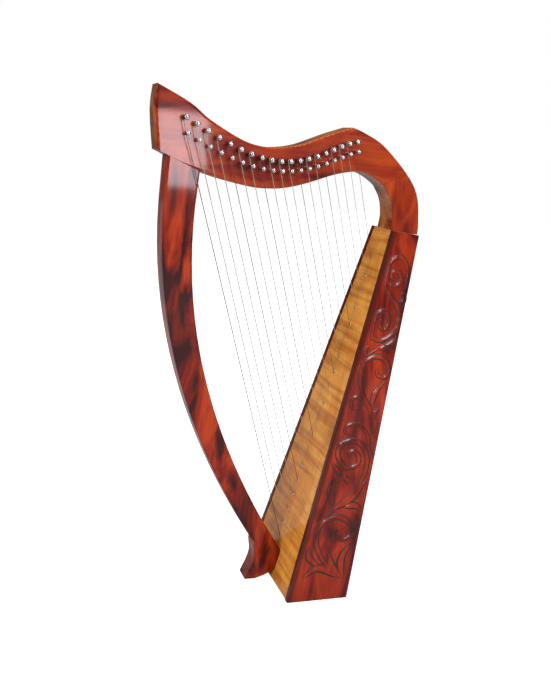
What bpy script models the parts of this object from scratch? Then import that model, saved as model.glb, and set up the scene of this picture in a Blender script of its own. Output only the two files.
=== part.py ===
"""A lap harp of nineteen strings, built piece by piece as a luthier would put it together.

The harp stands in the XZ plane. +Z is up and +X points at the player, so the pillar is at -X and
the soundbox at +X. The strings hang on the left side of the neck, which is -Y.
Sizes below are in millimetres and angles in degrees. Meshes are made in metres.
"""

import math

import bmesh
import bpy
import numpy
from mathutils import Matrix, Vector

MM = 0.001
GAP = 0.3

# Soundbox: the soundboard is its front, and it leans back from the base
BASE_FRONT_X = 35.9
BOARD_LENGTH = 577.5
BOARD_LEAN = 12.4
BASE_WIDTH = 166.0
TOP_WIDTH = 70.0
BASE_DEPTH = 99.0
TOP_DEPTH = 43.5
TOP_DROP = 4.9
SIDE_THICKNESS = 6.0
BACK_THICKNESS = 5.0
BOARD_THICKNESS = 3.5
STRIP_WIDTH = 8.5
STRIP_THICKNESS = 4.5
STRIP_ROUNDING = 2.0
LINER_WIDTH = 11.0
LINER_DEPTH = 9.0
RIB_WIDTH = 20.0
RIB_THICKNESS = 4.0
BOTTOM_BLOCK_HEIGHT = 48.0
TOP_BLOCK_HEIGHT = 40.0
BRACE_HEIGHT = 12.0
BRACE_DEPTH = 8.0
BRACE_LEVELS = (178.0, 292.0)
SOUND_HOLES = ((120.0, 24.0), (236.0, 22.0), (346.0, 19.0), (448.0, 15.0))

# Neck and shoulder: points measured from the top front corner of the soundbox
NECK_THICKNESS = 42.0
EDGE_ROUNDING = 4.0
NECK_TIP = (-368.5, 175.0)
NECK_END_MIDDLE = (-370.0, 141.0)
NECK_LOW_CORNER = (-362.5, 88.0)
SEAT_END = (-297.0, 62.2)
CREST = (-77.0, 143.5)
JOINT_TOP = (19.5, 84.0)
JOINT_LOW = (-20.5, 66.0)
NECK_TOP_POINTS = ((-321.0, 154.0), (-291.0, 134.0), (-244.5, 112.0), (-213.7, 105.0),
                   (-183.0, 106.0), (-152.0, 113.0), (-110.0, 131.0))
OUTER_NECK_POINTS = ((-57.5, 137.5), (-24.0, 121.5))
OUTER_SHOULDER_POINTS = ((41.0, 53.0), (49.5, 13.0))
NECK_LOW_POINTS = ((-268.5, 55.0), (-222.5, 47.2), (-192.0, 47.2), (-169.0, 50.3),
                   (-138.0, 59.2), (-95.0, 75.0), (-61.0, 81.3), (-41.0, 77.0))
INNER_SHOULDER_POINTS = ((-11.5, 56.5), (-1.7, 40.0), (2.5, 18.0))
OUTER_STEPS = 6
INNER_STEPS = 5
SHOULDER_FRONT = 1.0
SHOULDER_BACK = 50.3

# Pillar: a bowed post from the seat under the neck to the foot of the soundboard
PILLAR_TOP_THICKNESS = 40.0
PILLAR_FOOT_THICKNESS = 30.0
PILLAR_TOP_WIDTH = 47.0
PILLAR_LOW_WIDTH = 29.0
PILLAR_BOW = 53.5
PILLAR_BOW_SKEW = 0.24
PILLAR_SEAT_SHARE = 0.62
PILLAR_END = (-23.4, 70.0)
PILLAR_STEPS = 22
HEEL_POINTS = ((-34.8, 54.9), (-32.0, 38.3), (-34.6, 22.9))
HEEL_TOE = (-43.6, 0.0)
TOE_POINTS = ((-27.0, 0.0), (-12.0, 5.0))
CONTACT_LOW = 13.0
CONTACT_HIGH = 47.0

# Fastenings
DOWEL_RADIUS = 5.0
DOWEL_DEPTH = 22.0
BOLT_RADIUS = 3.0
BOLT_HEIGHT = 30.0
BOLT_IN_PILLAR = 20.0
BOLT_IN_BLOCK = 26.0

# Strings and pins, counted from the longest string; key pins are the strings named here
STRINGS = 19
KEY_STRINGS = (1, 5, 10, 14, 19)
TUNING_KEYS = ((-329.0, 133.8), (-263.9, 103.9), (-187.1, 86.5), (-134.2, 98.0), (-75.1, 123.5))
BRIDGE_KEYS = ((-324.3, 112.8), (-259.2, 85.2), (-183.7, 73.1), (-131.1, 84.3), (-71.0, 109.8))
FIRST_EYELET = 0.1134 * BOARD_LENGTH
EYELET_GAP = 0.0457 * BOARD_LENGTH
BASS_EYELET_GAP = 0.0372 * BOARD_LENGTH
GAP_EASE = 0.65
STRING_LINE_Y = 3.0
STRING_STANDOFF = 8.0
BASS_STRING_DIAMETER = 1.2
TREBLE_STRING_DIAMETER = 0.65
TURNS = 2
TURN_POINTS = 9
TURN_SPACE = 0.6
STRING_SIDES = 5
KNOT_RADIUS = 1.9
KNOT_LENGTH = 3.5
STRING_HOLE_RADIUS = 1.1
PIN_RADIUS = 2.5
PIN_TIP_RADIUS = 3.0
PIN_TIP_LENGTH = 2.6
PIN_REACH = 16.0
PIN_HEAD_REACH = 12.0
PIN_HEAD_HALF = 2.4
PIN_SIDES = 10
PEG_RADIUS = 2.4
PEG_GROOVE_RADIUS = 1.6
PEG_GROOVE_WIDTH = 2.6
PEG_REACH = 13.5
PEG_SINK = 3.0
PEG_SIDES = 8

# Colour, roughness and metallic value of each material
MATERIALS = {
    "red_varnished_wood": ((0.30, 0.025, 0.006), 0.18, 0.0),
    "dark_edging": ((0.11, 0.012, 0.006), 0.20, 0.0),
    "figured_maple": ((0.72, 0.36, 0.08), 0.28, 0.0),
    "plain_inner_wood": ((0.55, 0.38, 0.20), 0.60, 0.0),
    "polished_steel": ((0.75, 0.75, 0.77), 0.15, 1.0),
    "clear_nylon": ((0.85, 0.84, 0.78), 0.30, 0.0),
    "red_nylon": ((0.45, 0.02, 0.02), 0.35, 0.0),
    "black_nylon": ((0.02, 0.02, 0.03), 0.35, 0.0),
}


def material(name):
    """The named material, made on its first use."""
    found = bpy.data.materials.get(name)
    if found:
        return found
    colour, roughness, metallic = MATERIALS[name]
    made = bpy.data.materials.new(name)
    made.use_nodes = True
    shader = made.node_tree.nodes["Principled BSDF"]
    shader.inputs["Base Color"].default_value = (*colour, 1.0)
    shader.inputs["Roughness"].default_value = roughness
    shader.inputs["Metallic"].default_value = metallic
    made.diffuse_color = (*colour, 1.0)
    return made


def add_object(name, mesh, material_name=None):
    """A scene object around a mesh, in its material."""
    made = bpy.data.objects.new(name, mesh)
    bpy.context.scene.collection.objects.link(made)
    if material_name and not mesh.materials:
        mesh.materials.append(material(material_name))
    return made


def mesh_from(name, points, faces):
    """A mesh in metres from points in millimetres, with its faces turned outwards."""
    mesh = bpy.data.meshes.new(name)
    mesh.from_pydata([Vector(point) * MM for point in points], [], faces)
    work = bmesh.new()
    work.from_mesh(mesh)
    bmesh.ops.recalc_face_normals(work, faces=work.faces)
    work.to_mesh(mesh)
    work.free()
    return mesh


def add(first, second):
    return (first[0] + second[0], first[1] + second[1])


def meet(line, other):
    """Where two lines of the XZ plane cross. A line is a point and a direction."""
    (px, pz), (dx, dz) = line
    (qx, qz), (ex, ez) = other
    share = ((qx - px) * ez - (qz - pz) * ex) / (dx * ez - dz * ex)
    return (px + share * dx, pz + share * dz)


def shifted(line, distance):
    """The line moved sideways, to the right of its direction."""
    (px, pz), (dx, dz) = line
    length = math.hypot(dx, dz)
    return ((px + distance * dz / length, pz - distance * dx / length), (dx, dz))


def smooth(points, steps):
    """A curve through the points: Catmull-Rom spans of that many steps each."""
    ends = [points[0], *points, points[-1]]
    curve = []
    for before, start, end, after in zip(ends, ends[1:], ends[2:], ends[3:]):
        for step in range(steps):
            t = step / steps
            weights = (-t + 2 * t**2 - t**3, 2 - 5 * t**2 + 3 * t**3,
                       t + 4 * t**2 - 3 * t**3, t**3 - t**2)
            curve.append(tuple(0.5 * sum(w * p[k] for w, p in zip(weights, (before, start, end, after)))
                               for k in range(2)))
    return [*curve, tuple(points[-1])]


# The soundbox's lines, seen from the side
LEAN = math.radians(BOARD_LEAN)
ALONG = (math.sin(LEAN), math.cos(LEAN))
INWARD = (math.cos(LEAN), -math.sin(LEAN))
BASE_FRONT = (BASE_FRONT_X, 0.0)
TOP_FRONT = (BASE_FRONT_X + BOARD_LENGTH * ALONG[0], BOARD_LENGTH * ALONG[1])
TOP_BACK = (TOP_FRONT[0] + TOP_DEPTH, TOP_FRONT[1] - TOP_DROP)
BASE_BACK = (BASE_FRONT_X + BASE_DEPTH, 0.0)
FRONT_LINE = (BASE_FRONT, ALONG)
BACK_LINE = (BASE_BACK, (TOP_BACK[0] - BASE_BACK[0], TOP_BACK[1]))
TOP_LINE = (TOP_FRONT, (TOP_DEPTH, -TOP_DROP))
FLOOR_LINE = (BASE_FRONT, (1.0, 0.0))
FLARE = (BASE_WIDTH - TOP_WIDTH) / 2 / BOARD_LENGTH
BOARD_INSET = STRIP_THICKNESS - BOARD_THICKNESS


def front(depth):
    """The line behind the front of the soundbox, at that depth."""
    return shifted(FRONT_LINE, depth)


def back(depth):
    """The line inside the back of the soundbox, at that depth."""
    return shifted(BACK_LINE, -depth)


def below_top(drop):
    return shifted(TOP_LINE, drop)


def above_floor(height):
    return shifted(FLOOR_LINE, -height)


def board_point(along, depth):
    """A point at a distance up the front of the soundbox and a depth into it."""
    return (BASE_FRONT[0] + along * ALONG[0] + depth * INWARD[0],
            along * ALONG[1] + depth * INWARD[1])


def half_width(x, z):
    """Half the soundbox's width at a point of the XZ plane."""
    along = (x - BASE_FRONT[0]) * ALONG[0] + z * ALONG[1]
    return BASE_WIDTH / 2 - FLARE * along


def between(low, front_line, high, back_line):
    """The four corners between a low and a high line and a front and a back line."""
    return [meet(low, front_line), meet(low, back_line), meet(high, back_line), meet(high, front_line)]


def slab(outline, near, far):
    """A closed solid between two sides: an XZ outline, and the Y of each side at a point."""
    count = len(outline)
    points = [(x, near(x, z), z) for x, z in outline] + [(x, far(x, z), z) for x, z in outline]
    faces = [tuple(range(count)), tuple(range(2 * count - 1, count - 1, -1))]
    faces += [(i, (i + 1) % count, (i + 1) % count + count, i + count) for i in range(count)]
    return points, faces


def box_piece(name, outline, outer, inner, material_name):
    """A piece of the soundbox. Outer and inner are distances in from its sloping outer side,
    and an inner of None makes a piece that runs from side to side."""
    near = lambda x, z: outer - half_width(x, z)
    far = (lambda x, z: half_width(x, z) - outer) if inner is None else (
        lambda x, z: inner - half_width(x, z))
    return add_object(name, mesh_from(name, *slab(outline, near, far)), material_name)


def mirrored(source, name):
    """The right-hand copy of a left-hand piece."""
    mesh = source.data.copy()
    mesh.transform(Matrix.Scale(-1, 4, (0, 1, 0)))
    mesh.flip_normals()
    mesh.name = name
    return add_object(name, mesh)


def round_edges(mesh, width, chosen, segments=2):
    """Rounds the chosen edges. Chosen takes an edge's two ends, in millimetres."""
    work = bmesh.new()
    work.from_mesh(mesh)
    edges = [e for e in work.edges if chosen(e.verts[0].co / MM, e.verts[1].co / MM)]
    bmesh.ops.bevel(work, geom=edges, offset=width * MM, segments=segments, profile=0.5,
                    affect="EDGES", clamp_overlap=True)
    bmesh.ops.remove_doubles(work, verts=work.verts, dist=0.02 * MM)
    work.to_mesh(mesh)
    work.free()


def ring_solid(centres, axes, radii, sides):
    """A closed solid through rings of points. Each ring has a centre, two axes and a radius."""
    points = []
    for centre, (first, second), radius in zip(centres, axes, radii):
        for side in range(sides):
            angle = math.tau * side / sides
            points.append(Vector(centre) + radius * (math.cos(angle) * first + math.sin(angle) * second))
    faces = [tuple(reversed(range(sides))), tuple(range(len(points) - sides, len(points)))]
    for ring in range(len(centres) - 1):
        for side in range(sides):
            start, turn = ring * sides + side, ring * sides + (side + 1) % sides
            faces.append((start, turn, turn + sides, start + sides))
    return points, faces


def rod(start, end, radii_at, sides):
    """A straight turned solid. Radii_at lists (distance from start, radius)."""
    start, end = Vector(start), Vector(end)
    direction = (end - start).normalized()
    first = direction.orthogonal().normalized()
    second = direction.cross(first)
    centres = [start + direction * distance for distance, _ in radii_at]
    return ring_solid(centres, [(first, second)] * len(centres), [r for _, r in radii_at], sides)


def plain_rod(start, end, radius, sides):
    length = (Vector(end) - Vector(start)).length
    return rod(start, end, ((0.0, radius), (length, radius)), sides)


def joined(parts):
    """Several lists of points and faces as one."""
    points, faces = [], []
    for some_points, some_faces in parts:
        faces += [tuple(index + len(points) for index in face) for face in some_faces]
        points += some_points
    return points, faces


def boolean(target, name, parts, operation="DIFFERENCE"):
    """Cuts the parts from the target, or joins them to it."""
    tool = add_object(name, mesh_from(name, *joined(parts)))
    tool.hide_render = True
    tool.display_type = "WIRE"
    modifier = target.modifiers.new(name, "BOOLEAN")
    modifier.operation = operation
    modifier.solver = "EXACT"
    modifier.object = tool


def hole_radius(radius, sides):
    """The radius of a faceted hole that clears a round piece by the gap all round."""
    return (radius + GAP) / math.cos(math.pi / sides)


def at_y(point, y=0.0):
    """A point of the XZ plane at a Y."""
    return Vector((point[0], y, point[1]))


def make_soundbox():
    """The panels, blocks, strips, liners and braces. Returns the pieces that get holes."""
    behind = STRIP_THICKNESS + GAP
    inside = SIDE_THICKNESS + GAP
    floor, top = above_floor(0), below_top(0)
    over_block, under_block = above_floor(BOTTOM_BLOCK_HEIGHT + GAP), below_top(TOP_BLOCK_HEIGHT + GAP)
    panel = box_piece("left_side_panel", between(floor, front(behind), top, back(0)),
                      0, SIDE_THICKNESS, "red_varnished_wood")
    mirrored(panel, "right_side_panel")
    strip = box_piece("left_edge_strip", between(floor, front(0), top, front(STRIP_THICKNESS)),
                      0, STRIP_WIDTH, "dark_edging")
    outer_corner = lambda p, q: all(
        abs(p_.y + half_width(p_.x, p_.z)) < 0.01
        and abs((p_.x - BASE_FRONT[0]) * INWARD[0] + p_.z * INWARD[1]) < 0.01 for p_ in (p, q))
    round_edges(strip.data, STRIP_ROUNDING, outer_corner)
    mirrored(strip, "right_edge_strip")
    board = box_piece("soundboard", between(floor, front(BOARD_INSET), top, front(STRIP_THICKNESS)),
                      STRIP_WIDTH + GAP, None, "figured_maple")
    back_panel = box_piece("back_panel", between(floor, back(BACK_THICKNESS), top, back(0)),
                           inside, None, "red_varnished_wood")
    liner = box_piece("left_liner", between(over_block, front(behind), under_block,
                                            front(behind + LINER_DEPTH)),
                      inside, inside + LINER_WIDTH, "plain_inner_wood")
    mirrored(liner, "right_liner")
    bottom = box_piece("bottom_block", between(floor, front(behind), above_floor(BOTTOM_BLOCK_HEIGHT),
                                               back(BACK_THICKNESS + GAP)),
                       inside, None, "plain_inner_wood")
    top_block = box_piece("top_block", between(below_top(TOP_BLOCK_HEIGHT), front(behind), top,
                                               back(BACK_THICKNESS + GAP)),
                          inside, None, "plain_inner_wood")
    for name, level in zip(("lower_back_brace", "upper_back_brace"), BRACE_LEVELS):
        box_piece(name, between(above_floor(level), back(BACK_THICKNESS + GAP),
                                above_floor(level + BRACE_HEIGHT),
                                back(BACK_THICKNESS + GAP + BRACE_DEPTH)),
                  inside, None, "plain_inner_wood")
    edge = lambda side: (lambda x, z: STRING_LINE_Y + side * RIB_WIDTH / 2)
    outline = between(over_block, front(behind), under_block, front(behind + RIB_THICKNESS))
    rib = add_object("string_rib", mesh_from("string_rib", *slab(outline, edge(-1), edge(1))),
                     "plain_inner_wood")
    holes = []
    for level, radius in SOUND_HOLES:
        outer = meet(above_floor(level), back(-BACK_THICKNESS))
        inner = meet(above_floor(level), back(2 * BACK_THICKNESS))
        holes.append(plain_rod(at_y(outer), at_y(inner), radius, 24))
    boolean(back_panel, "sound_hole_cutter", holes)
    return board, rib, bottom, top_block


def seat_line(drop=0.0):
    """The straight seat under the neck, or the line that far below it."""
    start, end = add(TOP_FRONT, NECK_LOW_CORNER), add(TOP_FRONT, SEAT_END)
    return shifted((start, (end[0] - start[0], end[1] - start[1])), drop)


def joint_line(drop=0.0):
    """The joint between neck and shoulder, or the line that far into the shoulder."""
    start, end = add(TOP_FRONT, JOINT_LOW), add(TOP_FRONT, JOINT_TOP)
    return shifted((start, (end[0] - start[0], end[1] - start[1])), drop)


def neck_curves():
    """The outer and inner curves of neck and shoulder, each as the neck's and the shoulder's part."""
    place = lambda points: [add(TOP_FRONT, point) for point in points]
    foot = shifted(TOP_LINE, -GAP)
    foot_point = lambda offset: meet(foot, ((TOP_FRONT[0] + offset, 0.0), (0.0, 1.0)))
    outer = smooth([*place([CREST, *OUTER_NECK_POINTS, JOINT_TOP, *OUTER_SHOULDER_POINTS]),
                    foot_point(SHOULDER_BACK)], OUTER_STEPS)
    inner = smooth([*place([SEAT_END, *NECK_LOW_POINTS, JOINT_LOW, *INNER_SHOULDER_POINTS]),
                    foot_point(SHOULDER_FRONT)], INNER_STEPS)
    crown = smooth(place([NECK_TIP, *NECK_TOP_POINTS, CREST]), INNER_STEPS)
    outer_split = OUTER_STEPS * (len(OUTER_NECK_POINTS) + 1)
    inner_split = INNER_STEPS * (len(NECK_LOW_POINTS) + 1)
    return crown, outer, outer_split, inner, inner_split


def make_neck_and_shoulder():
    """The harmonic curve of the neck, and the shoulder that carries it on the soundbox."""
    crown, outer, outer_split, inner, inner_split = neck_curves()
    end_middle, low_corner = add(TOP_FRONT, NECK_END_MIDDLE), add(TOP_FRONT, NECK_LOW_CORNER)
    end_curve = smooth([low_corner, end_middle, add(TOP_FRONT, NECK_TIP)], 3)
    neck_outline = [*crown[:-1], *outer[:outer_split + 1], *reversed(inner[:inner_split + 1]),
                    *end_curve[:-1]]
    _, direction = joint_line()
    length = math.hypot(*direction)
    into_shoulder = (GAP * direction[1] / length, -GAP * direction[0] / length)
    shoulder_outline = [add(outer[outer_split], into_shoulder), *outer[outer_split + 1:],
                        *reversed(inner[inner_split + 1:]), add(inner[inner_split], into_shoulder)]
    near = lambda x, z: -NECK_THICKNESS / 2
    far = lambda x, z: NECK_THICKNESS / 2
    foot = shifted(TOP_LINE, -GAP)
    kept_sharp = (joint_line(), joint_line(GAP), foot, seat_line())
    pieces = []
    for name, outline in (("neck", neck_outline), ("shoulder", shoulder_outline)):
        mesh = mesh_from(name, *slab(outline, near, far))
        round_edges(mesh, EDGE_ROUNDING, lambda p, q: on_rim(p, q, kept_sharp))
        pieces.append(add_object(name, mesh, "red_varnished_wood"))
    return pieces


def distance_to(line, x, z):
    (px, pz), (dx, dz) = line
    return abs((x - px) * dz - (z - pz) * dx) / math.hypot(dx, dz)


def on_rim(p, q, kept_sharp):
    """True for an edge that lies in one side face and on none of the lines kept sharp."""
    same_side = p.y * q.y > 0
    sharp = any(distance_to(line, p.x, p.z) < 0.01 and distance_to(line, q.x, q.z) < 0.01
                for line in kept_sharp)
    return same_side and not sharp


def pillar_outline():
    """The bowed post between the seat and the soundboard, with its scrolled foot."""
    seat = seat_line(GAP)
    top = (seat[0][0] + PILLAR_SEAT_SHARE * seat[1][0], seat[0][1] + PILLAR_SEAT_SHARE * seat[1][1])
    end = add(BASE_FRONT, PILLAR_END)
    chord = (end[0] - top[0], end[1] - top[1])
    length = math.hypot(*chord)
    bulge = (chord[1] / length, -chord[0] / length)
    left, right = [], []
    for step in range(PILLAR_STEPS + 1):
        share = step / PILLAR_STEPS
        bow = PILLAR_BOW * 4 * share * (1 - share) * (1 + PILLAR_BOW_SKEW * (0.5 - share))
        slope = PILLAR_BOW * 4 * (1 - 2 * share) / length
        tilt = math.hypot(1.0, slope)
        across = ((bulge[0] - slope * chord[0] / length) / tilt,
                  (bulge[1] - slope * chord[1] / length) / tilt)
        half = (PILLAR_TOP_WIDTH + (PILLAR_LOW_WIDTH - PILLAR_TOP_WIDTH) * share) / 2
        centre = (top[0] + share * chord[0] + bow * bulge[0], top[1] + share * chord[1] + bow * bulge[1])
        left.append((centre[0] + half * across[0], centre[1] + half * across[1]))
        right.append((centre[0] - half * across[0], centre[1] - half * across[1]))
    left[0] = meet(seat, (left[1], (left[1][0] - left[2][0], left[1][1] - left[2][1])))
    right[0] = meet(seat, (right[1], (right[1][0] - right[2][0], right[1][1] - right[2][1])))
    contact = front(BOARD_INSET - GAP)
    heel = smooth([left[-1], *(add(BASE_FRONT, p) for p in (*HEEL_POINTS, HEEL_TOE))], 4)
    toe = [add(BASE_FRONT, p) for p in TOE_POINTS]
    low, high = meet(above_floor(CONTACT_LOW), contact), meet(above_floor(CONTACT_HIGH), contact)
    return [*left[:-1], *heel, *toe, low, high, *reversed(right[:-1])]


def make_pillar():
    outline = pillar_outline()
    seat_height = TOP_FRONT[1] + SEAT_END[1]
    growth = (PILLAR_TOP_THICKNESS - PILLAR_FOOT_THICKNESS) / 2 / seat_height
    far = lambda x, z: PILLAR_FOOT_THICKNESS / 2 + growth * z
    near = lambda x, z: -far(x, z)
    mesh = mesh_from("pillar", *slab(outline, near, far))
    kept_sharp = (seat_line(GAP), front(BOARD_INSET - GAP))
    round_edges(mesh, EDGE_ROUNDING, lambda p, q: on_rim(p, q, kept_sharp))
    return add_object("pillar", mesh, "red_varnished_wood")


def along_normal(line, share, into, out_of):
    """Two points on the normal of a line, that far to its right and to its left."""
    (px, pz), (dx, dz) = line
    length = math.hypot(dx, dz)
    foot = (px + share * dx, pz + share * dz)
    right = (dz / length, -dx / length)
    return (at_y((foot[0] + into * right[0], foot[1] + into * right[1])),
            at_y((foot[0] - out_of * right[0], foot[1] - out_of * right[1])))


def make_dowels():
    """Three dowels and a bolt, each in a blind hole. Returns the hole cutters by name."""
    lines = {"neck_dowel": joint_line(GAP / 2), "pillar_dowel": seat_line(GAP / 2),
             "shoulder_dowel": shifted(TOP_LINE, -GAP / 2)}
    cutters = {}
    for name, line in lines.items():
        share = PILLAR_SEAT_SHARE if name == "pillar_dowel" else 0.5
        start, end = along_normal(line, share, DOWEL_DEPTH, DOWEL_DEPTH)
        add_object(name, mesh_from(name, *plain_rod(start, end, DOWEL_RADIUS, 8)), "plain_inner_wood")
        start, end = along_normal(line, share, DOWEL_DEPTH + GAP, DOWEL_DEPTH + GAP)
        cutters[name] = plain_rod(start, end, hole_radius(DOWEL_RADIUS, 8), 8)
    along = BOLT_HEIGHT / ALONG[1]
    points = [at_y(board_point(along, depth)) for depth in (
        BOARD_INSET - BOLT_IN_PILLAR, STRIP_THICKNESS + BOLT_IN_BLOCK)]
    add_object("pillar_bolt", mesh_from("pillar_bolt", *plain_rod(*points, BOLT_RADIUS, 8)),
               "polished_steel")
    points = [at_y(board_point(along, depth)) for depth in (
        BOARD_INSET - BOLT_IN_PILLAR - GAP, STRIP_THICKNESS + BOLT_IN_BLOCK + GAP)]
    cutters["pillar_bolt"] = plain_rod(*points, hole_radius(BOLT_RADIUS, 8), 8)
    return cutters


def through_keys(keys, number):
    """The point of string number on the polynomial curve through the key strings' points."""
    spots = [numpy.polyval(numpy.polyfit(KEY_STRINGS, [key[k] for key in keys], len(keys) - 1), number)
             for k in range(2)]
    return add(TOP_FRONT, spots)


def eyelet_distance(number):
    """How far up the soundboard a string's hole is: the gaps ease out from the bass end."""
    gaps = (EYELET_GAP - (EYELET_GAP - BASS_EYELET_GAP) * GAP_EASE**k for k in range(number - 1))
    return FIRST_EYELET + sum(gaps)


def string_radius(number):
    share = (number - 1) / (STRINGS - 1)
    return (BASS_STRING_DIAMETER + (TREBLE_STRING_DIAMETER - BASS_STRING_DIAMETER) * share) / 2


def string_material(number):
    """F strings are black and C strings red, seven strings to the octave."""
    if number % 7 == 1:
        return "black_nylon"
    return "red_nylon" if number % 7 == 5 else "clear_nylon"


def string_route(number):
    """The centre line of a string, from its knot to the last turn on its pin, and its radii."""
    radius = string_radius(number)
    y = -NECK_THICKNESS / 2 - STRING_STANDOFF
    along = eyelet_distance(number)
    under_rib = STRIP_THICKNESS + RIB_THICKNESS + 2 * GAP
    hole = lambda depth: at_y(board_point(along, depth), STRING_LINE_Y)
    peg, pin = at_y(through_keys(BRIDGE_KEYS, number), y), at_y(through_keys(TUNING_KEYS, number), y)
    up = (pin - hole(0)).normalized()
    left = Vector((-up.z, 0.0, up.x)).normalized()
    bend = peg + left * (PEG_GROOVE_RADIUS + GAP + radius)
    coil = PIN_RADIUS + GAP + radius
    rise = (pin - peg).normalized()
    start = math.atan2(rise.x, -rise.z)
    route = [hole(under_rib + KNOT_LENGTH), hole(under_rib + 0.8 * KNOT_LENGTH),
             hole(under_rib + 0.2 * KNOT_LENGTH), hole(under_rib), hole(BOARD_INSET - radius), bend]
    radii = [0.5 * KNOT_RADIUS, KNOT_RADIUS, KNOT_RADIUS, radius, radius, radius]
    pitch = 2 * radius + TURN_SPACE
    for step in range(TURNS * TURN_POINTS + 1):
        angle = start - math.tau * step / TURN_POINTS
        route.append(pin + Vector((coil * math.cos(angle), -pitch * step / TURN_POINTS,
                                   coil * math.sin(angle))))
        radii.append(radius)
    return route, radii


def tube(route, radii, sides):
    """A tube along a route, whose rings stand square to the bend at each point."""
    centres, axes = [], []
    first = None
    for index, point in enumerate(route):
        before = (point - route[index - 1]).normalized() if index else (route[1] - point).normalized()
        after = (route[index + 1] - point).normalized() if index + 1 < len(route) else before
        direction = (before + after).normalized()
        first = direction.orthogonal() if first is None else first - direction * first.dot(direction)
        first = first.normalized()
        centres.append(point)
        axes.append((first, direction.cross(first)))
    return ring_solid(centres, axes, radii, sides)


def gap_to_itself(route, radius):
    """The least clear space between points of a route that lie more than half a turn apart."""
    coil = route[-(TURNS * TURN_POINTS + 2):]
    apart = TURN_POINTS // 2 + 1
    return min((p - q).length - 2 * radius
               for i, p in enumerate(coil) for q in coil[i + apart:])


def make_strings(board, rib):
    """Nineteen strings, each knotted under the rib and wound on its pin."""
    holes = []
    least = math.inf
    for number in range(1, STRINGS + 1):
        route, radii = string_route(number)
        name = f"string_{number:02d}"
        add_object(name, mesh_from(name, *tube(route, radii, STRING_SIDES)), string_material(number))
        least = min(least, gap_to_itself(route, string_radius(number)))
        along = eyelet_distance(number)
        ends = [at_y(board_point(along, depth), STRING_LINE_Y)
                for depth in (-STRIP_THICKNESS, 2 * STRIP_THICKNESS + RIB_THICKNESS)]
        holes.append(plain_rod(*ends, STRING_HOLE_RADIUS, 6))
    print(f"Least gap of a string winding to itself: {least:.2f} mm")
    boolean(board, "board_hole_cutter", holes)
    boolean(rib, "rib_hole_cutter", holes)


def tuning_pin_mesh():
    """A tuning pin along Y, with its square head on the right side and its tip on the left."""
    half = NECK_THICKNESS / 2
    rings = [(half + PIN_HEAD_REACH, None), (half + 1.0, None), (half + GAP, PIN_RADIUS),
             (PIN_TIP_LENGTH - half - PIN_REACH, PIN_RADIUS),
             (PIN_TIP_LENGTH * 0.9 - half - PIN_REACH, PIN_TIP_RADIUS),
             (PIN_TIP_LENGTH * 0.3 - half - PIN_REACH, PIN_TIP_RADIUS),
             (-half - PIN_REACH, 0.55 * PIN_TIP_RADIUS)]
    points = []
    for y, radius in rings:
        for side in range(PIN_SIDES):
            angle = math.tau * side / PIN_SIDES
            reach = radius or PIN_HEAD_HALF / max(abs(math.cos(angle)), abs(math.sin(angle)))
            points.append((reach * math.cos(angle), y, reach * math.sin(angle)))
    faces = [tuple(range(PIN_SIDES)), tuple(range(len(points) - 1, len(points) - PIN_SIDES - 1, -1))]
    for ring in range(len(rings) - 1):
        for side in range(PIN_SIDES):
            start, turn = ring * PIN_SIDES + side, ring * PIN_SIDES + (side + 1) % PIN_SIDES
            faces.append((start, turn, turn + PIN_SIDES, start + PIN_SIDES))
    return mesh_from("tuning_pin", points, faces)


def make_pins(neck):
    """The turning tuning pins, and the fixed bridge pins, which are driven into the neck."""
    mesh = tuning_pin_mesh()
    half = NECK_THICKNESS / 2
    groove = half + STRING_STANDOFF
    holes, pegs = [], []
    for number in range(1, STRINGS + 1):
        spot = through_keys(TUNING_KEYS, number)
        pin = add_object(f"tuning_pin_{number:02d}", mesh, "polished_steel")
        pin.location = at_y(spot) * MM
        holes.append(plain_rod(at_y(spot, half + 5.0), at_y(spot, -half - 5.0),
                               hole_radius(PIN_RADIUS, PIN_SIDES), PIN_SIDES))
        start = at_y(through_keys(BRIDGE_KEYS, number), PEG_SINK - half)
        end = start - Vector((0.0, PEG_REACH + PEG_SINK, 0.0))
        to_groove = groove - half + PEG_SINK
        pegs.append(rod(start, end, (
            (0.0, PEG_RADIUS), (to_groove - PEG_GROOVE_WIDTH, PEG_RADIUS),
            (to_groove - PEG_GROOVE_WIDTH / 2, PEG_GROOVE_RADIUS),
            (to_groove + PEG_GROOVE_WIDTH / 2, PEG_GROOVE_RADIUS),
            (to_groove + PEG_GROOVE_WIDTH, PEG_RADIUS),
            (PEG_REACH + PEG_SINK, 0.8 * PEG_RADIUS)), PEG_SIDES))
    return holes, pegs


def shade(piece):
    """Round pieces look smooth, and their real edges stay sharp."""
    piece.data.shade_smooth()
    piece.data.set_sharp_from_angle(angle=math.radians(35))


def main():
    for old in list(bpy.data.objects):
        bpy.data.objects.remove(old)
    board, rib, bottom, top_block = make_soundbox()
    neck, shoulder = make_neck_and_shoulder()
    pillar = make_pillar()
    cutters = make_dowels()
    make_strings(board, rib)
    holes, pegs = make_pins(neck)
    boolean(neck, "bridge_pins", pegs, "UNION")
    boolean(neck, "neck_cutter", [*holes, cutters["neck_dowel"], cutters["pillar_dowel"]])
    boolean(shoulder, "shoulder_cutter", [cutters["neck_dowel"], cutters["shoulder_dowel"]])
    boolean(top_block, "top_block_cutter", [cutters["shoulder_dowel"]])
    boolean(pillar, "pillar_cutter", [cutters["pillar_dowel"], cutters["pillar_bolt"]])
    boolean(board, "bolt_cutter", [cutters["pillar_bolt"]])
    boolean(bottom, "bottom_block_cutter", [cutters["pillar_bolt"]])
    for piece in bpy.data.objects:
        if not piece.hide_render:
            shade(piece)


main()
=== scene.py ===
import math

import bpy
import numpy as np

from mathutils import Matrix, Vector


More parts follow.
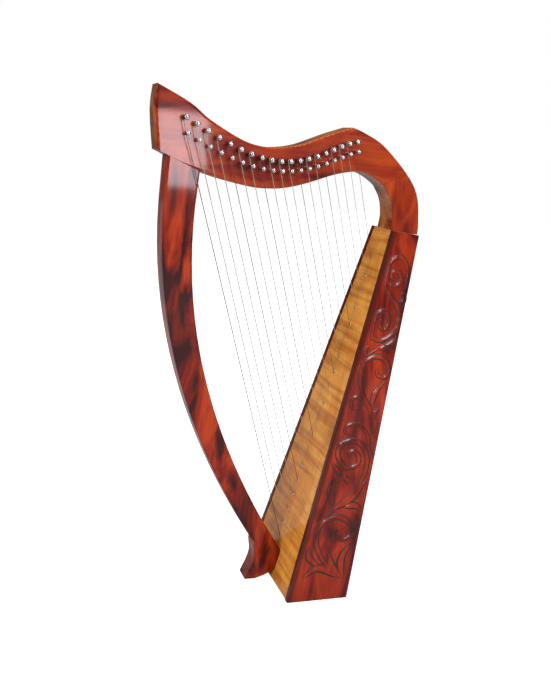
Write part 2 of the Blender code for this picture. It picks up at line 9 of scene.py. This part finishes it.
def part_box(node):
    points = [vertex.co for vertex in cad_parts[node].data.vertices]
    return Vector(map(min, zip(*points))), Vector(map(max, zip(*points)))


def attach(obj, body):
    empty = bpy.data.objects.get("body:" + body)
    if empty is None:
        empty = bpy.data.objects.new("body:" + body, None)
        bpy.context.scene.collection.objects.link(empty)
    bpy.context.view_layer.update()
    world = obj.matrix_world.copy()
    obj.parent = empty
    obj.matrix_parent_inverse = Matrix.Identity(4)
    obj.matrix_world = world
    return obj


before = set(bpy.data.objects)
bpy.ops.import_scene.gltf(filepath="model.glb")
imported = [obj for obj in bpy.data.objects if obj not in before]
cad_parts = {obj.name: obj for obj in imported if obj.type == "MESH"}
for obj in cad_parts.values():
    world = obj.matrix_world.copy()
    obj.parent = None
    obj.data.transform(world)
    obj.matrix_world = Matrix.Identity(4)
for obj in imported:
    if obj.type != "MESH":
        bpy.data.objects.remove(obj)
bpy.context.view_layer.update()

# Shapes are in millimetres here, as in the part's source, and MM turns them into metres
MM = 0.001
STRINGS = 19
STRING_LINE_Y = 3.0
NECK_HALF = 21.0

# The soundboard: places on it are given as a distance up along it and a depth into the soundbox
BOARD_LENGTH = 577.5
LEAN = math.radians(12.4)
ALONG = Vector((math.sin(LEAN), 0.0, math.cos(LEAN)))
INWARD = Vector((math.cos(LEAN), 0.0, -math.sin(LEAN)))
BASE_FRONT = Vector((35.9, 0.0, 0.0))
TOP_FRONT = BASE_FRONT + BOARD_LENGTH * ALONG
HALF_BASE, HALF_TOP = 83.0, 35.0

# The back edge of a side panel: its low corner, its length and how far it closes in on the front
BACK_LOW_ALONG, BACK_LOW_DEPTH = 21.3, 96.7
BACK_LENGTH = 560.8
BACK_TAPER = 53.2

LENGTHWISE = Vector((1.0, 0.0, 0.0))
CROSSWISE = Vector((0.0, 1.0, 0.0))
OUT_LEFT = Vector((0.0, -1.0, 0.0))

COAT_ROUGHNESS = 0.06
WOOD_SPECULAR = 0.10


def socket(node, name, value):
    if name in node.inputs:
        node.inputs[name].default_value = value


def blank(name, roughness, metallic=0.0, coat=0.0):
    mat = bpy.data.materials.new(name)
    mat.use_nodes = True
    shader = mat.node_tree.nodes["Principled BSDF"]
    socket(shader, "Roughness", roughness)
    socket(shader, "Metallic", metallic)
    socket(shader, "Coat Weight", coat)
    socket(shader, "Coat Roughness", COAT_ROUGHNESS)
    return mat, mat.node_tree, shader


def ramp(tree, stops):
    node = tree.nodes.new("ShaderNodeValToRGB")
    elements = node.color_ramp.elements
    while len(elements) < len(stops):
        elements.new(0.5)
    for element, (place, colour) in zip(elements, stops):
        element.position = place
        element.color = (*colour, 1.0)
    return node


def mapped(tree, scale, turn=(0.0, 0.0, 0.0)):
    place = tree.nodes.new("ShaderNodeTexCoord")
    mapping = tree.nodes.new("ShaderNodeMapping")
    mapping.inputs["Rotation"].default_value = turn
    mapping.inputs["Scale"].default_value = scale
    tree.links.new(place.outputs["Object"], mapping.inputs["Vector"])
    return mapping.outputs["Vector"]


def noise(tree, vector, detail, distortion=0.0):
    node = tree.nodes.new("ShaderNodeTexNoise")
    socket(node, "Scale", 1.0)
    socket(node, "Detail", detail)
    socket(node, "Distortion", distortion)
    tree.links.new(vector, node.inputs["Vector"])
    return node.outputs["Fac"]


def multiply(tree, factor, first, second):
    node = tree.nodes.new("ShaderNodeMix")
    node.data_type = "RGBA"
    node.blend_type = "MULTIPLY"
    node.inputs["Factor"].default_value = factor
    tree.links.new(first, node.inputs[6])
    tree.links.new(second, node.inputs[7])
    return node.outputs[2]


# How often a pattern repeats in a metre, across the grain and along it
MOTTLE = (26, 8)
FIBRE = (260, 9)
FIBRE_TONES = ((0.35, (0.62, 0.55, 0.5)), (0.62, (1.0, 1.0, 1.0)))
# How often the cross bands repeat in a metre, along each axis of the turned piece
BAND_SCALE = (2, 8, 95)
BAND_STRENGTH = 0.85


def grain_scale(pattern, level):
    """Grain runs up the piece, or along the frame's length where the piece lies level."""
    across, lengthwise = pattern
    return (lengthwise, across, across) if level else (across, across, lengthwise)


def wood(name, stops, turn, cross=None, roughness=0.30, coat=0.55, grain=0.45, level=False):
    """Stained wood: mottled colour, fine grain along its length and, if asked for, cross bands."""
    mat, tree, shader = blank(name, roughness, 0.0, coat)
    socket(shader, "Specular IOR Level", WOOD_SPECULAR)
    cloud = noise(tree, mapped(tree, grain_scale(MOTTLE, level), turn), 6.0, 1.2)
    colour = ramp(tree, stops)
    tree.links.new(cloud, colour.inputs["Fac"])
    fibre = ramp(tree, FIBRE_TONES)
    fine = mapped(tree, grain_scale(FIBRE, level), turn)
    tree.links.new(noise(tree, fine, 3.0, 0.3), fibre.inputs["Fac"])
    out = multiply(tree, grain, colour.outputs["Color"], fibre.outputs["Color"])
    if cross:
        band = ramp(tree, cross)
        tree.links.new(noise(tree, mapped(tree, BAND_SCALE, turn), 2.5, 0.4), band.inputs["Fac"])
        out = multiply(tree, BAND_STRENGTH, out, band.outputs["Color"])
    tree.links.new(out, shader.inputs["Base Color"])
    return mat


# Tones of each wood, from its dark streaks to its light ones, with their places in the mottle
SIDE_TONES = ((0.36, (0.055, 0.003, 0.002)), (0.50, (0.21, 0.011, 0.003)),
              (0.66, (0.40, 0.034, 0.005)))
NECK_TONES = ((0.36, (0.075, 0.004, 0.002)), (0.50, (0.24, 0.015, 0.003)),
              (0.66, (0.42, 0.048, 0.006)))
SHOULDER_TONES = ((0.36, (0.15, 0.010, 0.003)), (0.50, (0.34, 0.030, 0.005)),
                  (0.66, (0.50, 0.075, 0.009)))
# Painted highlight: the narrow faces of the neck and shoulder are painted paler and more golden than the
# sides, standing in for light on their rounded edges
EDGE_HIGHLIGHT_TONES = ((0.36, (0.15, 0.025, 0.006)), (0.50, (0.34, 0.088, 0.016)),
              (0.66, (0.52, 0.18, 0.030)))
PILLAR_TONES = ((0.38, (0.040, 0.003, 0.002)), (0.50, (0.22, 0.012, 0.003)),
                (0.64, (0.45, 0.042, 0.005)))
EDGE_TONES = ((0.3, (0.060, 0.008, 0.004)), (0.7, (0.14, 0.016, 0.007)))
MAPLE_TONES = ((0.30, (0.66, 0.225, 0.026)), (0.70, (0.90, 0.42, 0.075)))
MAPLE_BANDS = ((0.38, (0.62, 0.46, 0.30)), (0.60, (1.0, 1.0, 1.0)))
BARE_TONES = ((0.3, (0.42, 0.27, 0.13)), (0.7, (0.56, 0.38, 0.20)))

BOARD_TURN = (0.0, -LEAN, 0.0)
SHOULDER_TURN = (0.0, 0.4, 0.0)
PILLAR_TURN = (0.0, 0.3, 0.0)
NO_TURN = (0.0, 0.0, 0.0)

side_wood = wood("side_wood", SIDE_TONES, BOARD_TURN)
neck_wood = wood("neck_wood", NECK_TONES, NO_TURN, level=True)
shoulder_wood = wood("shoulder_wood", SHOULDER_TONES, SHOULDER_TURN)
# Painted highlight for the narrow faces, paler than the sides
edge_highlight_wood = wood("edge_highlight_wood", EDGE_HIGHLIGHT_TONES, NO_TURN, level=True)
pillar_wood = wood("pillar_wood", PILLAR_TONES, PILLAR_TURN)
edge_wood = wood("edge_wood", EDGE_TONES, BOARD_TURN)
maple = wood("maple", MAPLE_TONES, BOARD_TURN, MAPLE_BANDS, roughness=0.25, coat=0.7, grain=0.25)
bare_wood = wood("bare_wood", BARE_TONES, BOARD_TURN, roughness=0.6, coat=0.0)


def speckled(name, low, high, roughness, metallic, coat=0.0):
    """A plain finish that wavers a little between two colours."""
    mat, tree, shader = blank(name, roughness, metallic, coat)
    colour = ramp(tree, ((0.3, low), (0.7, high)))
    tree.links.new(noise(tree, mapped(tree, (60, 60, 60)), 3.0), colour.inputs["Fac"])
    tree.links.new(colour.outputs["Color"], shader.inputs["Base Color"])
    return mat


steel = speckled("bright_steel", (0.62, 0.62, 0.64), (0.78, 0.78, 0.80), 0.16, 1.0)
clear = speckled("clear_line", (0.20, 0.175, 0.13), (0.36, 0.33, 0.27), 0.45, 0.0)
red_line = speckled("red_line", (0.16, 0.008, 0.008), (0.24, 0.014, 0.012), 0.45, 0.0)
black_line = speckled("black_line", (0.010, 0.010, 0.014), (0.03, 0.03, 0.04), 0.35, 0.0, 0.3)
# Painted shade: near-black for the low grooves along each carved stroke, where shade falls
groove_shade = speckled("groove_painted_shade", (0.030, 0.004, 0.003), (0.050, 0.006, 0.004), 0.5, 0.0, 0.05)

LOOKS = {
    "neck": neck_wood, "shoulder": shoulder_wood, "pillar": pillar_wood,
    "left_side_panel": side_wood, "right_side_panel": side_wood, "back_panel": side_wood,
    "soundboard": maple, "left_edge_strip": edge_wood, "right_edge_strip": edge_wood,
    "pillar_bolt": steel,
}


def string_look(number):
    """Every seventh string is black and every seventh is red, so that a player finds the notes."""
    if number % 7 == 1:
        return black_line
    return red_line if number % 7 == 5 else clear


def dress_solids():
    for name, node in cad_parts.items():
        if name.startswith("tuning_pin_"):
            look = steel
        elif name.startswith("string_") and name[-2:].isdigit():
            look = string_look(int(name[-2:]))
        else:
            look = LOOKS.get(name, bare_wood)
        node.data.materials.clear()
        node.data.materials.append(look)


BEYOND_SIDE = 0.05
SHORT_OF_SIDE = 3.0
NARROW_TILT = 0.45


def is_bridge_pin(face):
    """The bridge pins are part of the neck's solid: everything beyond its left face is theirs."""
    return face.center.y < -(NECK_HALF + BEYOND_SIDE) * MM


def is_narrow(face):
    """A face along the top, the underside or an end, clear of the two sides."""
    return abs(face.normal.y) < NARROW_TILT and abs(face.center.y) < (NECK_HALF - SHORT_OF_SIDE) * MM


def recolour(piece, look, chosen):
    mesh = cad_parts[piece].data
    mesh.materials.append(look)
    for face in mesh.polygons:
        if chosen(face):
            face.material_index = len(mesh.materials) - 1


def dress_neck_and_shoulder():
    """Steel bridge pins, and narrow faces painted paler than the sides: a painted highlight where their
    rounded edges catch the light.
    """
    recolour("neck", steel, is_bridge_pin)
    recolour("neck", edge_highlight_wood, is_narrow)
    recolour("shoulder", edge_highlight_wood, is_narrow)


def add_piece(name, points, faces, looks, body="root", indices=None):
    mesh = bpy.data.meshes.new(name)
    mesh.from_pydata([Vector(point) * MM for point in points], [], faces)
    for look in looks:
        mesh.materials.append(look)
    if indices:
        mesh.polygons.foreach_set("material_index", indices)
    made = bpy.data.objects.new(name, mesh)
    bpy.context.scene.collection.objects.link(made)
    mesh.shade_smooth()
    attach(made, body)
    return made


def half_width(along):
    return HALF_BASE + (HALF_TOP - HALF_BASE) * along / BOARD_LENGTH


def on_panel(along, depth, lift, side):
    """A point on the outer face of a side panel, raised from it."""
    point = BASE_FRONT + along * ALONG + depth * INWARD
    point.y = side * (half_width(along) + lift)
    return point


def curve_through(points, steps):
    """A smooth curve through each point in turn, with as many steps between two neighbours."""
    ends = [points[0], *points, points[-1]]
    curve = []
    for a, b, c, d in zip(ends, ends[1:], ends[2:], ends[3:]):
        for step in range(steps):
            t = step / steps
            w = (-t + 2 * t**2 - t**3, 2 - 5 * t**2 + 3 * t**3, t + 4 * t**2 - 3 * t**3, t**3 - t**2)
            curve.append(tuple(0.5 * (w[0] * a[k] + w[1] * b[k] + w[2] * c[k] + w[3] * d[k])
                               for k in range(2)))
    return [*curve, tuple(points[-1])]


# The vine on the side panels: each stroke has a kind, half its width and its points up and into the side
VINE = (
    ("scroll", 3.0, ((508, 26), (512, 17), (520, 19), (520, 29), (511, 35), (501, 29), (503, 15),
     (521, 7), (538, 13), (543, 26), (530, 40), (505, 45), (490, 41))),
    ("scroll", 3.6, ((417, 13), (416, 30), (428, 45), (448, 52), (468, 45), (483, 27), (497, 12),
     (518, 8))),
    ("scroll", 3.2, ((416, 14), (442, 10), (457, 15), (458, 27), (448, 34), (434, 31), (437, 20),
     (447, 20))),
    ("leaf", 3.4, ((493, 41), (483, 52), (469, 52))),
    ("leaf", 3.4, ((403, 30), (413, 46), (429, 56))),
    ("leaf", 3.0, ((410, 37), (410, 49), (402, 59))),
    ("leaf", 2.6, ((387, 14), (396, 9), (405, 13))),
    ("scroll", 1.8, ((372, 8), (388, 14), (402, 27), (414, 37))),
    ("scroll", 3.2, ((310, 48), (332, 26), (355, 14), (375, 13), (389, 25), (391, 43), (379, 56),
     (365, 55), (364, 42), (373, 37))),
    ("leaf", 3.0, ((317, 46), (338, 46), (363, 58))),
    ("scroll", 2.4, ((304, 50), (319, 35), (326, 19), (318, 10), (308, 16), (310, 26))),
    ("leaf", 2.8, ((296, 54), (308, 55), (325, 61))),
    ("scroll", 2.4, ((257, 61), (274, 52), (285, 34), (281, 16), (271, 14), (267, 23))),
    ("scroll", 1.8, ((233, 73), (258, 66), (283, 57), (303, 46))),
    ("scroll", 2.0, ((258, 66), (278, 64), (291, 70), (294, 64))),
    ("scroll", 3.4, ((139, 23), (181, 54), (210, 66), (235, 65), (255, 51), (260, 31), (251, 14),
     (234, 14), (220, 29), (222, 46), (234, 51), (245, 40), (240, 31), (233, 36))),
    ("leaf", 3.6, ((210, 37), (211, 23), (220, 9))),
    ("leaf", 3.0, ((205, 32), (201, 40), (194, 47))),
    ("leaf", 3.4, ((157, 31), (177, 18), (199, 18))),
    ("leaf", 4.0, ((154, 34), (176, 58), (208, 73))),
    ("leaf", 3.4, ((158, 49), (164, 66), (156, 80))),
    ("scroll", 3.4, ((51, 77), (68, 45), (91, 23), (116, 16), (133, 25), (142, 46), (134, 69),
     (119, 74), (110, 63), (114, 48), (123, 48))),
    ("leaf", 2.8, ((123, 77), (139, 80), (152, 71))),
    ("leaf", 3.6, ((51, 76), (69, 54), (90, 44))),
    ("leaf", 4.0, ((52, 79), (79, 69), (108, 78))),
    ("leaf", 3.8, ((51, 71), (60, 35), (40, 13))),
    ("leaf", 3.2, ((64, 31), (74, 14), (90, 10))),
)
# A stroke's section from side to side: share of the half width, lift, and 1 where the groove around it
# takes painted shade
SECTION = ((-1.6, -0.2, 1), (-1.4, 0.12, 1), (-0.85, 0.20, 0), (-0.5, 0.9, 0), (0.0, 1.2, 0),
           (0.5, 0.9, 0), (0.85, 0.20, 1), (1.4, 0.12, 1), (1.6, -0.2, 1))
STROKE_STEPS = 7
FRONT_MARGIN = 9.0
BACK_MARGIN = 5.5
# Each stroke lies this much higher than the one before, so that none flickers where two cross
STROKE_LIFT = 0.004


def within_margins(along, depth):
    back_edge = BACK_LOW_DEPTH - (along - BACK_LOW_ALONG) * BACK_TAPER / BACK_LENGTH
    return min(max(depth, FRONT_MARGIN), back_edge - BACK_MARGIN)


def stroke_size(kind, share):
    """How full a stroke is along its length: a leaf tapers to both tips, and a scroll swells once."""
    if kind == "leaf":
        return 0.12 + 1.15 * math.sin(math.pi * share**0.8)
    return 0.45 + 0.55 * math.sin(math.pi * min(1.0, 0.12 + 0.8 * share))


def stroke_points(order, kind, width, line, side):
    """The points of one stroke, a section at a time along its line."""
    last = len(line) - 1
    points = []
    for i, (along, depth) in enumerate(line):
        depth = within_margins(along, depth)
        size = stroke_size(kind, i / last)
        behind, ahead = line[max(i - 1, 0)], line[min(i + 1, last)]
        run = math.hypot(ahead[0] - behind[0], ahead[1] - behind[1]) or 1.0
        across = (-(ahead[1] - behind[1]) / run, (ahead[0] - behind[0]) / run)
        for offset, lift, _ in SECTION:
            reach = offset * width * size
            rise = lift * min(1.0, 0.4 + size) + STROKE_LIFT * order
            points.append(on_panel(along + reach * across[0], depth + reach * across[1], rise, side))
    return points


def carve(side, name):
    """A vine scroll in low relief on one side panel, with painted shade in the grooves that outline it.
    """
    points, faces, indices = [], [], []
    wide = len(SECTION)
    for order, (kind, width, spots) in enumerate(VINE):
        line = curve_through(spots, STROKE_STEPS)
        start = len(points)
        points += stroke_points(order, kind, width, line, side)
        for i in range(len(line) - 1):
            for k in range(wide - 1):
                at = start + i * wide + k
                quad = (at, at + 1, at + 1 + wide, at + wide)
                faces.append(quad if side > 0 else quad[::-1])
                indices.append(SECTION[k][2])
    add_piece(name, points, faces, (side_wood, groove_shade), "root", indices)


def lathe(profile, sides, centre, axis, across):
    """A turned solid: the profile lists distance along the axis and radius."""
    other = axis.cross(across)
    points, faces = [], []
    for distance, radius in profile:
        for side in range(sides):
            angle = math.tau * side / sides
            points.append(centre + axis * distance
                          + radius * (math.cos(angle) * across + math.sin(angle) * other))
    for ring in range(len(profile) - 1):
        for side in range(sides):
            at, turn = ring * sides + side, ring * sides + (side + 1) % sides
            faces.append((at, turn, turn + sides, at + sides))
    return points, faces


# Eyelets line the string holes in the soundboard, and the gaps between them grow towards the treble
FIRST_EYELET = 65.5
BASS_GAP = 21.5
FULL_GAP = 26.4
GAP_EASE = 0.65
EYELET_SEAT = 0.85
EYELET_RING = ((0.0, 2.1), (-0.4, 2.0), (-0.6, 1.7), (-0.5, 1.35), (-0.1, 1.15), (1.5, 1.1))
EYELET_SIDES = 20


def add_eyelets():
    along = FIRST_EYELET
    for number in range(1, STRINGS + 1):
        centre = BASE_FRONT + along * ALONG + EYELET_SEAT * INWARD
        centre.y = STRING_LINE_Y
        points, faces = lathe(EYELET_RING, EYELET_SIDES, centre, INWARD, CROSSWISE)
        add_piece(f"eyelet_{number:02d}", points, [face[::-1] for face in faces], (steel,))
        along += FULL_GAP - (FULL_GAP - BASS_GAP) * GAP_EASE ** (number - 1)


# Five bridge pins, placed from the top of the soundboard: the rest are on a smooth line through them
KEY_STRINGS = (1, 5, 10, 14, 19)
BRIDGE_KEYS = ((-324.3, 112.8), (-259.2, 85.2), (-183.7, 73.1), (-131.1, 84.3), (-71.0, 109.8))
BRIDGE_SEAT = 12.6
BRIDGE_DOME = (2.2, 3.0)
TUNING_SEAT = 1.6
TUNING_DOME = (2.0, 3.3)
# A dome's outline, a little below its seat to its tip, as shares of its height and radius
DOME = [(math.sin(step * math.pi / 12), math.cos(step * math.pi / 12)) for step in range(-2, 7)]
DOME_SIDES = 24


def add_dome(name, seat, shape, body="root"):
    height, radius = shape
    profile = [(height * rise, radius * wide) for rise, wide in DOME]
    points, faces = lathe(profile, DOME_SIDES, seat, OUT_LEFT, LENGTHWISE)
    add_piece(name, points, faces, (steel,), body)


def bridge_spot(number):
    return [np.polyval(np.polyfit(KEY_STRINGS, [key[k] for key in BRIDGE_KEYS], 4), number)
            for k in range(2)]


def add_domes():
    """Polished domes end the tuning pins and the bridge pins."""
    for number in range(1, STRINGS + 1):
        low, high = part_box(f"tuning_pin_{number:02d}")
        seat = Vector(((low[0] + high[0]) / 2 / MM, low[1] / MM + TUNING_SEAT,
                       (low[2] + high[2]) / 2 / MM))
        add_dome(f"tuning_pin_dome_{number:02d}", seat, TUNING_DOME, f"pin_{number:02d}")
        spot = bridge_spot(number)
        seat = Vector((TOP_FRONT.x + spot[0], -NECK_HALF - BRIDGE_SEAT, TOP_FRONT.z + spot[1]))
        add_dome(f"bridge_pin_dome_{number:02d}", seat, BRIDGE_DOME)


# The camera was fitted to the photograph: its place is in metres, and its turns in degrees
CAMERA_PLACE = (-0.4209, -1.035, 0.6635)
CAMERA_YAW = 16.678
CAMERA_PITCH = -9.724
CAMERA_ROLL = 5.271
SENSOR = 36.0
PHOTO_HEIGHT = 688.0
FOCAL_PIXELS = 760.0
SHIFT_PIXELS = 68.0


def add_camera():
    yaw, pitch, roll = map(math.radians, (CAMERA_YAW, CAMERA_PITCH, CAMERA_ROLL))
    forward = Vector((math.sin(yaw) * math.cos(pitch), math.cos(yaw) * math.cos(pitch),
                      math.sin(pitch)))
    level = Vector((math.cos(yaw), -math.sin(yaw), 0.0))
    upward = level.cross(forward)
    right = math.cos(roll) * level + math.sin(roll) * upward
    up = -math.sin(roll) * level + math.cos(roll) * upward
    turn = Matrix((right, up, -forward)).transposed()
    lens = bpy.data.cameras.new("camera")
    lens.lens = FOCAL_PIXELS / PHOTO_HEIGHT * SENSOR
    lens.sensor_width = SENSOR
    lens.shift_x = SHIFT_PIXELS / PHOTO_HEIGHT
    lens.shift_y = -SHIFT_PIXELS / PHOTO_HEIGHT
    lens.clip_start, lens.clip_end = 0.05, 30.0
    camera = bpy.data.objects.new("camera", lens)
    camera.matrix_world = Matrix.Translation(CAMERA_PLACE) @ turn.to_4x4()
    bpy.context.scene.collection.objects.link(camera)
    bpy.context.scene.camera = camera


# The floor is a mid grey that keeps the shadow, and it glows towards the camera alone
FLOOR_REACH = 8
FLOOR_LEVEL = -0.0005
FLOOR_GREY = (0.42, 0.42, 0.42, 1.0)
FLOOR_GLOW = 0.92
WHITE = (1.0, 1.0, 1.0, 1.0)


def floor_material():
    look, tree, shader = blank("floor_white", 0.9)
    socket(shader, "Base Color", FLOOR_GREY)
    socket(shader, "Specular IOR Level", 0.0)
    socket(shader, "Emission Color", WHITE)
    path = tree.nodes.new("ShaderNodeLightPath")
    glow = tree.nodes.new("ShaderNodeMath")
    glow.operation = "MULTIPLY"
    glow.inputs[1].default_value = FLOOR_GLOW
    tree.links.new(path.outputs["Is Camera Ray"], glow.inputs[0])
    tree.links.new(glow.outputs[0], shader.inputs["Emission Strength"])
    return look


def add_floor():
    mesh = bpy.data.meshes.new("floor")
    corners = [(x * FLOOR_REACH, y * FLOOR_REACH, FLOOR_LEVEL)
               for x, y in ((-1, -1), (1, -1), (1, 1), (-1, 1))]
    mesh.from_pydata(corners, [], [(0, 1, 2, 3)])
    mesh.materials.append(floor_material())
    floor = bpy.data.objects.new("floor", mesh)
    bpy.context.scene.collection.objects.link(floor)


def lamp(name, place, target, size, power, colour=(1.0, 1.0, 1.0)):
    data = bpy.data.lights.new(name, "AREA")
    data.shape = "RECTANGLE"
    data.size, data.size_y = size
    data.energy = power
    data.color = colour
    made = bpy.data.objects.new(name, data)
    made.location = place
    made.rotation_euler = (Vector(target) - Vector(place)).to_track_quat("-Z", "Y").to_euler()
    bpy.context.scene.collection.objects.link(made)


def add_lamps():
    lamp("left_softbox", (-2.2, -1.0, 1.9), (-0.1, 0.0, 0.45), (1.1, 1.6), 42.0, (0.97, 0.97, 1.0))
    lamp("front_softbox", (0.9, -2.4, 1.5), (0.0, 0.0, 0.35), (0.8, 1.2), 38.0)
    lamp("top_softbox", (0.1, 0.2, 2.4), (0.0, 0.0, 0.3), (1.2, 1.2), 24.0)
    lamp("shine_card", (0.34, -2.1, 0.62), (-0.17, 0.0, 0.6), (0.22, 0.34), 3.4, (0.93, 0.92, 1.0))


# The room lights the harp in a soft grey, and the camera sees it as white, also through clear pieces
ROOM_GREY = (0.50, 0.50, 0.52, 1.0)
# Reflections see a room that is dimmer by this share
GLOSSY_DIMMING = 0.82


def add_world():
    world = bpy.data.worlds.new("white")
    bpy.context.scene.world = world
    world.use_nodes = True
    tree = world.node_tree
    background = tree.nodes["Background"]
    path = tree.nodes.new("ShaderNodeLightPath")
    seen = tree.nodes.new("ShaderNodeMath")
    seen.operation = "MAXIMUM"
    tree.links.new(path.outputs["Is Camera Ray"], seen.inputs[0])
    tree.links.new(path.outputs["Is Transmission Ray"], seen.inputs[1])
    shade = tree.nodes.new("ShaderNodeMix")
    shade.data_type = "RGBA"
    shade.inputs[6].default_value = ROOM_GREY
    shade.inputs[7].default_value = WHITE
    tree.links.new(seen.outputs[0], shade.inputs["Factor"])
    tree.links.new(shade.outputs[2], background.inputs["Color"])
    dim = tree.nodes.new("ShaderNodeMath")
    dim.operation = "MULTIPLY_ADD"
    dim.inputs[1].default_value = -GLOSSY_DIMMING
    dim.inputs[2].default_value = 1.0
    tree.links.new(path.outputs["Is Glossy Ray"], dim.inputs[0])
    tree.links.new(dim.outputs[0], background.inputs["Strength"])


dress_solids()
dress_neck_and_shoulder()
carve(-1, "left_vine_carving")
carve(1, "right_vine_carving")
add_eyelets()
add_domes()
add_camera()
add_floor()
add_lamps()
add_world()
bpy.context.scene.view_settings.view_transform = "Standard"
